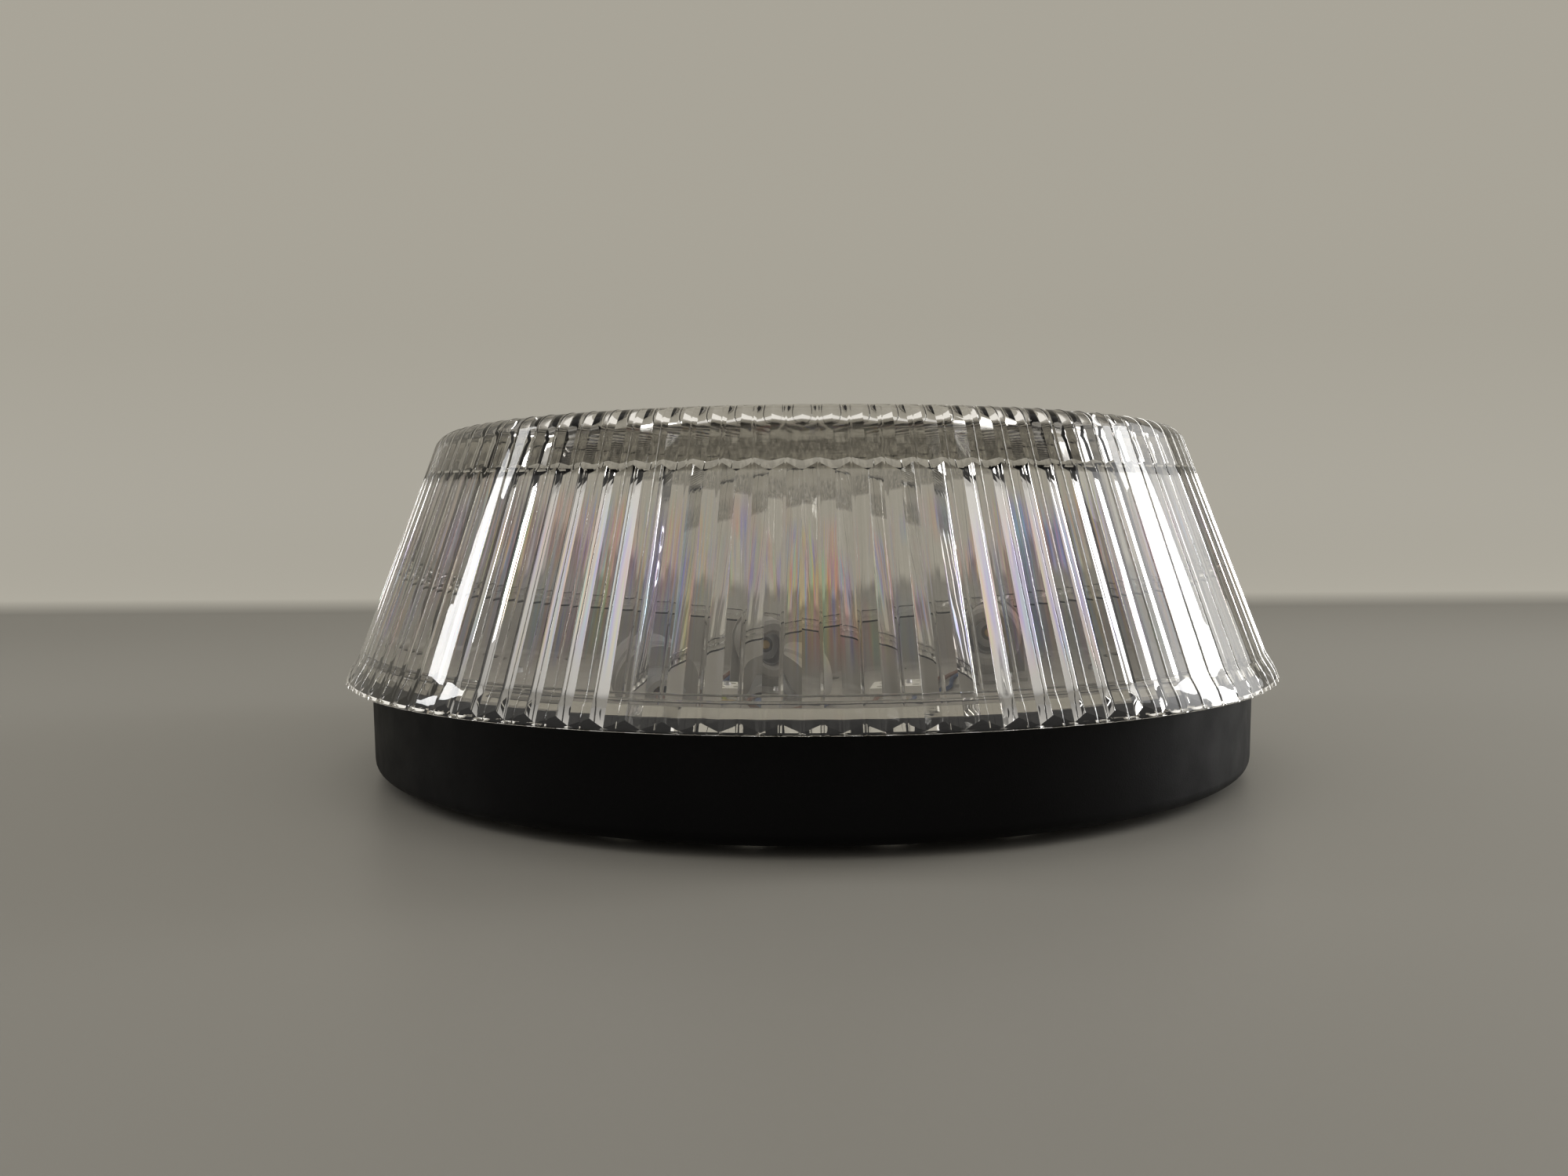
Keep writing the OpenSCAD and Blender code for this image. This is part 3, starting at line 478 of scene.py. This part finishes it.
@dataclass
class RibbedShade:
    """The clear shade: thin ribs on a smooth cone outside, flat-sided flutes inside and a lip round the rim."""

    wardrobe: Wardrobe
    rim_z: float = 32.0
    front_z: float = 113.0
    rim_r: float = 160.0
    slope: float = 0.37
    ribs: int = 100
    lip_step: float = 1.2
    lip_z: tuple[float, float] = (35.0, 41.5)
    rim_round: float = 0.4
    bead_h: float = 0.16
    bead_w: float = 0.24
    wall: float = 3.0
    flute: float = 2.0
    rim_cut: float = 1.9
    band_step: float = 2.3
    band_flute: float = 0.8
    front_t: float = 3.5
    shoulder_z: float = 95.0
    corner_r: float = 6.5
    inner_corner_r: float = 6.0
    top_runout: float = 12.0
    wall_rings: tuple[float, float] = (62.0, 84.0)
    front_rings: tuple[float, float] = (70.0, 15.0)
    sharp_deg: float = 21.0
    fractions: tuple[float, ...] = (0, .012, .025, .045, .07, .25, .43, .47, .5, .53, .57, .75, .93, .955, .975, .988)
    lean: float = field(init=False)

    def __post_init__(self) -> None:
        """Works out the lean of the wall."""
        self.lean = math.atan(self.slope)

    def lip_r(self, z: np.ndarray) -> np.ndarray:
        """Radius of the lip's cone at a height."""
        return self.rim_r - self.slope * (z - self.rim_z)

    def wall_r(self, z: np.ndarray) -> np.ndarray:
        """Radius of the wall's cone at a height, one step inside the lip's."""
        return self.lip_r(z) - self.lip_step

    def inner_r(self, z: np.ndarray, place: np.ndarray) -> np.ndarray:
        """Radius of the fluted inside at a height: straight from a flute's bottom (place 0) to its edge (place 1)."""
        return self.wall_r(z) - (self.wall + self.flute * place) / math.cos(self.lean)

    def band_r(self, z: np.ndarray, place: np.ndarray) -> np.ndarray:
        """Radius of the inside over the shoulder at a height: a thicker wall with shallower flutes."""
        return self.wall_r(z) - (self.wall + self.band_step + self.band_flute * place) / math.cos(self.lean)

    def columns(self) -> tuple[np.ndarray, np.ndarray]:
        """Angles of the grid's columns and their place, 1 behind a rib and 0 half a pitch from it."""
        share = np.array(self.fractions)
        turns = (np.arange(self.ribs)[:, None] + share[None, :]).ravel() / self.ribs
        place = np.abs(np.tile(share, self.ribs) - 0.5) * 2
        return turns * 2 * math.pi, place

    def outer_r(self, z: np.ndarray) -> np.ndarray:
        """Radius of the outside at a height: the lip's cone, easing over to the wall's cone in a smooth step."""
        low, high = self.lip_z
        share = np.clip((z - low) / (high - low), 0, 1)
        return self.lip_r(z) - self.lip_step * share * share * (3 - 2 * share)

    def outside(self, place: np.ndarray) -> tuple[np.ndarray, np.ndarray]:
        """Radius and height of the outer rings, from the rim up and over to the middle of the front.

        The rim's lower edge is an arc that runs into the lip, the lip eases into the wall's cone, and a second arc
        turns into the flat front. Each rib is a bead, a bell curve of the distance to its middle, set on along the
        surface's normal; on the front the beads run out linearly.

        Args:
            place: each column's place between two ribs.

        Returns:
            Radii and heights of shape (rings, columns).
        """
        beside = (1 - place) * math.pi * self.rim_r / self.ribs
        bead = (self.bead_h * np.exp(-(beside / self.bead_w) ** 2))[None, :]
        flat = np.zeros_like(bead)
        round_z = self.rim_z + self.rim_round
        round_x = self.lip_r(round_z) - self.rim_round / math.cos(self.lean)
        curl = np.linspace(-math.pi / 2, self.lean, 7)[:, None]
        cone = np.concatenate([np.linspace(*self.lip_z, 7), self.wall_rings])[:, None]
        corner_z = self.front_z - self.corner_r
        corner_x = self.wall_r(corner_z) - self.corner_r / math.cos(self.lean)
        bend = np.linspace(self.lean, math.pi / 2, 9)[:, None]
        out = np.array([0.33, 0.67, 1.0])[:, None]
        middle = np.array(self.front_rings)[:, None]
        radius = [round_x + (self.rim_round + bead) * np.cos(curl), self.outer_r(cone) + bead * math.cos(self.lean),
                  corner_x + (self.corner_r + bead) * np.cos(bend), corner_x - self.top_runout * out + flat,
                  middle + flat]
        height = [round_z + self.rim_round * np.sin(curl) + flat, cone + bead * math.sin(self.lean),
                  corner_z + (self.corner_r + bead) * np.sin(bend), self.front_z + bead * (1 - out),
                  np.full_like(middle, self.front_z) + flat]
        return np.concatenate(radius), np.concatenate(height)

    def inside(self, place: np.ndarray) -> tuple[np.ndarray, np.ndarray]:
        """Radius and height of the inner rings, from the middle of the front down to the rim's underside.

        The flutes are V grooves with flat sides, their edges behind the ribs. At the shoulder a steep cone steps in to
        shallower flutes, which bend over an arc on to the front's underside and run out there linearly. At the rim a
        cone cuts the edges back to the flutes' bottoms, so each edge ends in a triangle.

        Args:
            place: each column's place between two ribs.

        Returns:
            Radii and heights of shape (rings, columns).
        """
        place = place[None, :]
        flat = np.zeros_like(place)
        under = self.front_z - self.front_t
        corner_z = under - self.inner_corner_r
        corner_x = self.band_r(corner_z, 1) - self.inner_corner_r / math.cos(self.lean)
        sunk = self.band_flute * (1 - place)
        bend = np.linspace(math.pi / 2, self.lean, 7)[:, None]
        corner = self.inner_corner_r + sunk
        middle = np.array(self.front_rings[::-1])[:, None]
        out = np.array([[1.0], [0.5]])
        shoulder = self.shoulder_z + self.flute * place
        shoulder_top = shoulder + self.band_step + (self.band_flute - self.flute) * place
        cut = self.rim_z + self.flute * place / ((self.rim_cut - self.slope) * math.cos(self.lean))
        rim = self.rim_z + flat
        radius = [middle + flat, corner_x - self.top_runout * out + flat, corner_x + corner * np.cos(bend),
                  self.band_r(shoulder_top, place), self.inner_r(shoulder, place), self.inner_r(cut, place),
                  self.inner_r(rim, flat)]
        height = [under + np.zeros_like(middle) + flat, under + sunk * (1 - out), corner_z + corner * np.sin(bend),
                  shoulder_top, shoulder, cut, rim]
        return np.concatenate(radius), np.concatenate(height)

    def build(self) -> bpy.types.Object:
        """Builds and dresses the shade.

        Returns:
            The shade's object, riding on its body.
        """
        angles, place = self.columns()
        out_r, out_z = self.outside(place)
        in_r, in_z = self.inside(place)
        radius = np.concatenate([in_r, out_r])
        height = np.concatenate([in_z, out_z])
        grid = np.stack([radius * np.cos(angles), radius * np.sin(angles), height], -1)
        made = Surfaces.mesh("ribbed_shade", grid, Ends.POLES, self.sharp_deg)
        self.wardrobe.dress(made, Slot.SHADE_CLEAR)
        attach(made, Body.SHADE.value)
        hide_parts("shade")
        return made


@dataclass
class ShadeCollar:
    """The collar bonded inside the rim, with the lugs of the twist lock."""

    wardrobe: Wardrobe
    inner_r: float = 144.1
    seat_r: float = 152.5
    slope: float = 0.37
    seat_z: float = 34.3
    top_z: float = 39.9
    band_t: float = 2.35
    flange_t: float = 2.5
    edge: float = 0.4
    lugs: int = 3
    lug_deg: float = 10.0
    lug_in: float = 144.6
    toe_out: float = 148.9
    stem_out: float = 147.3
    toe_z: float = 23.3
    toe_h: float = 3.2
    bond: float = 0.1
    columns: int = 360

    def outer_r(self, z: float) -> float:
        """Radius of the band's outside at a height, on the cone of the shade's inner edges."""
        return self.seat_r - self.slope * (z - self.seat_z)

    def band(self) -> np.ndarray:
        """Profile of the flange and the leaning band, with small chamfers on the band's top."""
        shoulder_z = self.top_z - self.edge
        flange_z = self.seat_z + self.flange_t
        outside = [[self.inner_r, self.seat_z], [self.outer_r(self.seat_z), self.seat_z],
                   [self.outer_r(shoulder_z), shoulder_z], [self.outer_r(self.top_z) - self.edge, self.top_z]]
        inside = [[self.outer_r(self.top_z) - self.band_t + self.edge, self.top_z],
                  [self.outer_r(shoulder_z) - self.band_t, shoulder_z],
                  [self.outer_r(flange_z + self.edge) - self.band_t, flange_z + self.edge],
                  [self.outer_r(flange_z) - self.band_t - self.edge, flange_z], [self.inner_r, flange_z]]
        return np.array(outside + inside)

    def lug(self, turn: float) -> tuple[np.ndarray, np.ndarray]:
        """One lug: its stepped profile carried over a short arc, with both ends closed.

        Args:
            turn: the lug's middle angle in radians.

        Returns:
            Points in millimetres and quads as vertex numbers.
        """
        top = self.seat_z + self.bond
        profile = np.array([[self.lug_in, self.toe_z], [self.toe_out, self.toe_z],
                            [self.toe_out, self.toe_z + self.toe_h], [self.stem_out, self.toe_z + self.toe_h],
                            [self.stem_out, top], [self.lug_in, top]])
        steps, half = 13, math.radians(self.lug_deg / 2)
        angles = turn + np.linspace(-half, half, steps)
        points = Surfaces.turn(profile, angles).transpose(1, 0, 2).reshape(-1, 3)
        count = len(profile)
        ring = np.arange(count)
        after = (ring + 1) % count
        base = (np.arange(steps - 1) * count)[:, None]
        sides = np.stack([base + ring, base + count + ring, base + count + after, base + after], -1).reshape(-1, 4)
        end = (steps - 1) * count
        caps = np.array([[0, 1, 2, 3], [0, 3, 4, 5]])
        return points, np.concatenate([sides, caps, end + caps[:, ::-1]])

    def build(self) -> bpy.types.Object:
        """Builds and dresses the collar with its lugs.

        Returns:
            The collar's object, riding on the shade's body.
        """
        angles = np.arange(self.columns) * 2 * math.pi / self.columns
        profile = self.band()
        points = [Surfaces.turn(profile, angles).reshape(-1, 3)]
        faces = [Surfaces.faces(len(profile), self.columns, True)]
        for index in range(self.lugs):
            lug_points, lug_faces = self.lug(index * 2 * math.pi / self.lugs)
            faces.append(lug_faces + sum(len(block) for block in points))
            points.append(lug_points)
        made = Surfaces.link("shade_collar_clear", np.concatenate(points), np.concatenate(faces).tolist(), 30.0)
        self.wardrobe.dress(made, Slot.SHADE_CLEAR)
        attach(made, Body.SHADE.value)
        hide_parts("shade_collar")
        return made


@dataclass
class LampThread:
    """The rolled, plated thread shell of a lampholder."""

    wardrobe: Wardrobe
    node: str
    axis_x: float
    shoulder_y: float
    outward: int
    axis_z: float = 30.0
    mean_r: float = 7.05
    wave: float = 0.28
    sheet: float = 0.3
    pitch: float = 2.82
    length: float = 16.5
    floor_r: float = 3.7
    plain_end: float = 0.8
    fade: float = 1.5
    columns: int = 72
    rows: int = 84

    def build(self) -> bpy.types.Object:
        """Builds and dresses the shell.

        The tube's radius is a cosine of height over the pitch less the turn, so its crests climb as a screw; the wave
        fades out at both ends. The inner wall repeats it one sheet thickness further in, and a flat floor with the
        contact's hole closes the bottom.

        Returns:
            The shell's object, riding on the base.
        """
        angles = np.arange(self.columns) * 2 * math.pi / self.columns
        along = np.linspace(0, self.length, self.rows)[:, None]
        from_end = np.minimum(along, self.length - along) - self.plain_end
        fade = np.clip(from_end / self.fade, 0, 1)
        wave = self.wave * fade * np.cos(2 * math.pi * along / self.pitch - angles[None, :])
        outer = self.mean_r + self.sheet / 2 + wave
        inner = outer[::-1] - self.sheet
        heights = np.repeat(along, self.columns, 1)
        floor = np.full((1, self.columns), self.floor_r)
        radius = np.concatenate([floor, outer, inner, floor])
        height = np.concatenate([np.zeros((1, self.columns)), heights, np.maximum(heights[::-1], self.sheet)[:-1],
                                 np.full((2, self.columns), self.sheet)])
        x = self.axis_x + self.outward * radius * np.cos(angles)
        y = self.shoulder_y + self.outward * height
        z = self.axis_z - radius * np.sin(angles)
        made = Surfaces.mesh(self.node + "_rolled", np.stack([x, y, z], -1), Ends.LOOP, 50.0)
        self.wardrobe.dress(made, Slot.ZINC_STEEL)
        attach(made, Body.BASE.value)
        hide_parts(self.node)
        return made


@dataclass
class CadPieces:
    """The CAD nodes that keep their own shape."""

    wardrobe: Wardrobe
    smoother: Smoother
    kept_angle: float = 28.0
    wire_angle: float = 62.0
    wires: tuple[str, ...] = ("live_wires", "neutral_wires", "earth_wire")

    def dress(self) -> None:
        """Gives each CAD node its slot's finish and smooth shading."""
        slots = {part["node"]: Slot(part["material_slot"]) for part in frame["record"]["subparts"]}
        for name, node in frame["nodes"].items():
            self.wardrobe.dress(node, slots[name])
            if not node.hide_render:
                self.smoother.apply(node, self.wire_angle if name in self.wires else self.kept_angle)
            LOG.info("%s: %s", name, slots[name].value)


@dataclass
class Studio:
    """A pale sweep, soft lights and the camera at the photo's angle. Sizes in metres."""

    eye: tuple[float, float, float] = (-0.0088, -0.432, 0.0795)
    pitch_deg: float = -2.67
    roll_deg: float = 0.4
    lens: float = 27.0
    sensor: float = 36.0
    floor_tone: tuple[float, float, float] = (0.26, 0.25, 0.224)
    wall_low: tuple[float, float, float] = (0.335, 0.315, 0.265)
    wall_high: tuple[float, float, float] = (0.350, 0.328, 0.274)
    wall_foot: float = 0.012
    wall_fade: tuple[float, float] = (0.0, 0.5)
    wall_paint: float = 0.06
    floor_near: float = -3.0
    floor_far: float = 0.75
    floor_half: float = 4.0
    sweep_r: float = 0.35
    wall_top: float = 3.2
    sky_low: float = 0.30
    sky_high: float = 1.1

    def sweep(self) -> bpy.types.Object:
        """The floor that bends up into a backdrop: a profile of floor, quarter circle and wall carried along X."""
        bend = np.linspace(0, math.pi / 2, 24)
        wall_y = self.floor_far + self.sweep_r
        y = np.concatenate([[self.floor_near], self.floor_far + self.sweep_r * np.sin(bend), [wall_y]])
        z = np.concatenate([[0.0], self.sweep_r * (1 - np.cos(bend)), [self.wall_top]])
        x = np.array([-self.floor_half, self.floor_half])
        points = np.stack([np.repeat(x, len(y)), np.tile(y, 2), np.tile(z, 2)], -1) / MM
        row = np.arange(len(y) - 1)
        faces = np.stack([row, row + len(y), row + len(y) + 1, row + 1], -1)
        made = Surfaces.link("studio_sweep", points, faces.tolist(), 60.0)
        board = Board("studio_paper")
        height = board.node("ShaderNodeSeparateXYZ", None, Vector=board.place()).outputs["Z"]
        rise = board.span(height, 0, 1, 0.001, self.wall_foot)
        paint = (self.wall_paint,) * 3
        board.set(Base_Color=board.blend(rise, self.floor_tone, paint), Roughness=0.42, Specular_IOR_Level=0.4,
                  Emission_Color=board.blend(board.span(height, 0, 1, *self.wall_fade), self.wall_low, self.wall_high),
                  Emission_Strength=board.product(rise, self.seen(board)))
        made.data.materials.append(board.material)
        return made

    @staticmethod
    def seen(board: Board) -> bpy.types.NodeSocket:
        """A socket that is 1 for rays of the eye, of reflections and of refractions, and 0 for others."""
        path = board.node("ShaderNodeLightPath").outputs
        larger = {"operation": "MAXIMUM"}
        glass = board.node("ShaderNodeMath", larger, i0=path["Is Glossy Ray"], i1=path["Is Transmission Ray"])
        return board.node("ShaderNodeMath", larger, i0=path["Is Camera Ray"], i1=glass.outputs[0]).outputs[0]

    def lamp(self, name: str, place: tuple[float, float, float], size: tuple[float, float], watts: float,
             spread_deg: float = 180.0) -> None:
        """Adds a soft rectangular lamp aimed at the middle of the light.

        Args:
            name: the lamp's name.
            place: its centre in metres.
            size: its width and height in metres.
            watts: its power.
            spread_deg: the full angle of its beam.
        """
        data = bpy.data.lights.new(name, "AREA")
        data.spread = math.radians(spread_deg)
        data.shape = "RECTANGLE"
        data.size, data.size_y = size
        data.energy = watts
        made = bpy.data.objects.new(name, data)
        made.location = place
        made.visible_camera = False
        aim = np.array([0, 0, 0.06]) - np.array(place)
        flat = math.hypot(aim[0], aim[1])
        made.rotation_euler = (math.atan2(flat, -aim[2]), 0, math.atan2(-aim[0], aim[1]))
        bpy.context.scene.collection.objects.link(made)

    def sky(self) -> bpy.types.World:
        """A soft sky whose strength grows linearly from the horizon to the zenith."""
        world = bpy.data.worlds.new("studio_sky")
        world.use_nodes = True
        tree = world.node_tree
        where = tree.nodes.new("ShaderNodeTexCoord")
        split = tree.nodes.new("ShaderNodeSeparateXYZ")
        grow = tree.nodes.new("ShaderNodeMapRange")
        grow.inputs["To Min"].default_value, grow.inputs["To Max"].default_value = self.sky_low, self.sky_high
        back = tree.nodes["Background"]
        back.inputs["Color"].default_value = (1.0, 0.97, 0.92, 1)
        tree.links.new(where.outputs["Generated"], split.inputs[0])
        tree.links.new(split.outputs["Z"], grow.inputs["Value"])
        tree.links.new(grow.outputs["Result"], back.inputs["Strength"])
        return world

    def build(self) -> None:
        """Sets the sweep, lamps, sky and camera."""
        scene = bpy.context.scene
        scene.view_settings.view_transform = "Standard"
        self.sweep()
        self.lamp("window_soft", (1.45, 0.40, 0.52), (1.25, 0.9), 1.7, 70.0)
        self.lamp("window_core", (1.40, 0.33, 0.48), (0.30, 0.7), 0.95, 70.0)
        self.lamp("left_strip", (-1.25, 0.15, 0.62), (0.12, 0.6), 0.35, 70.0)
        scene.world = self.sky()
        data = bpy.data.cameras.new("photo_eye")
        data.lens, data.sensor_width = self.lens, self.sensor
        camera = bpy.data.objects.new("photo_eye", data)
        camera.location = self.eye
        camera.rotation_euler = (math.radians(90 + self.pitch_deg), math.radians(self.roll_deg), 0)
        scene.collection.objects.link(camera)
        scene.camera = camera


def main() -> None:
    """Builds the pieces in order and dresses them."""
    logging.basicConfig(level=logging.INFO, format="%(name)s %(message)s")
    wardrobe = Wardrobe()
    for maker in (RibbedShade(wardrobe), ShadeCollar(wardrobe),
                  LampThread(wardrobe, "thread_shell_left", -32.0, -64.0, 1),
                  LampThread(wardrobe, "thread_shell_right", 32.0, 64.0, -1)):
        LOG.info("%s built", maker.build().name)
    CadPieces(wardrobe, Smoother()).dress()
    Studio().build()


if __name__ == "__main__":
    main()
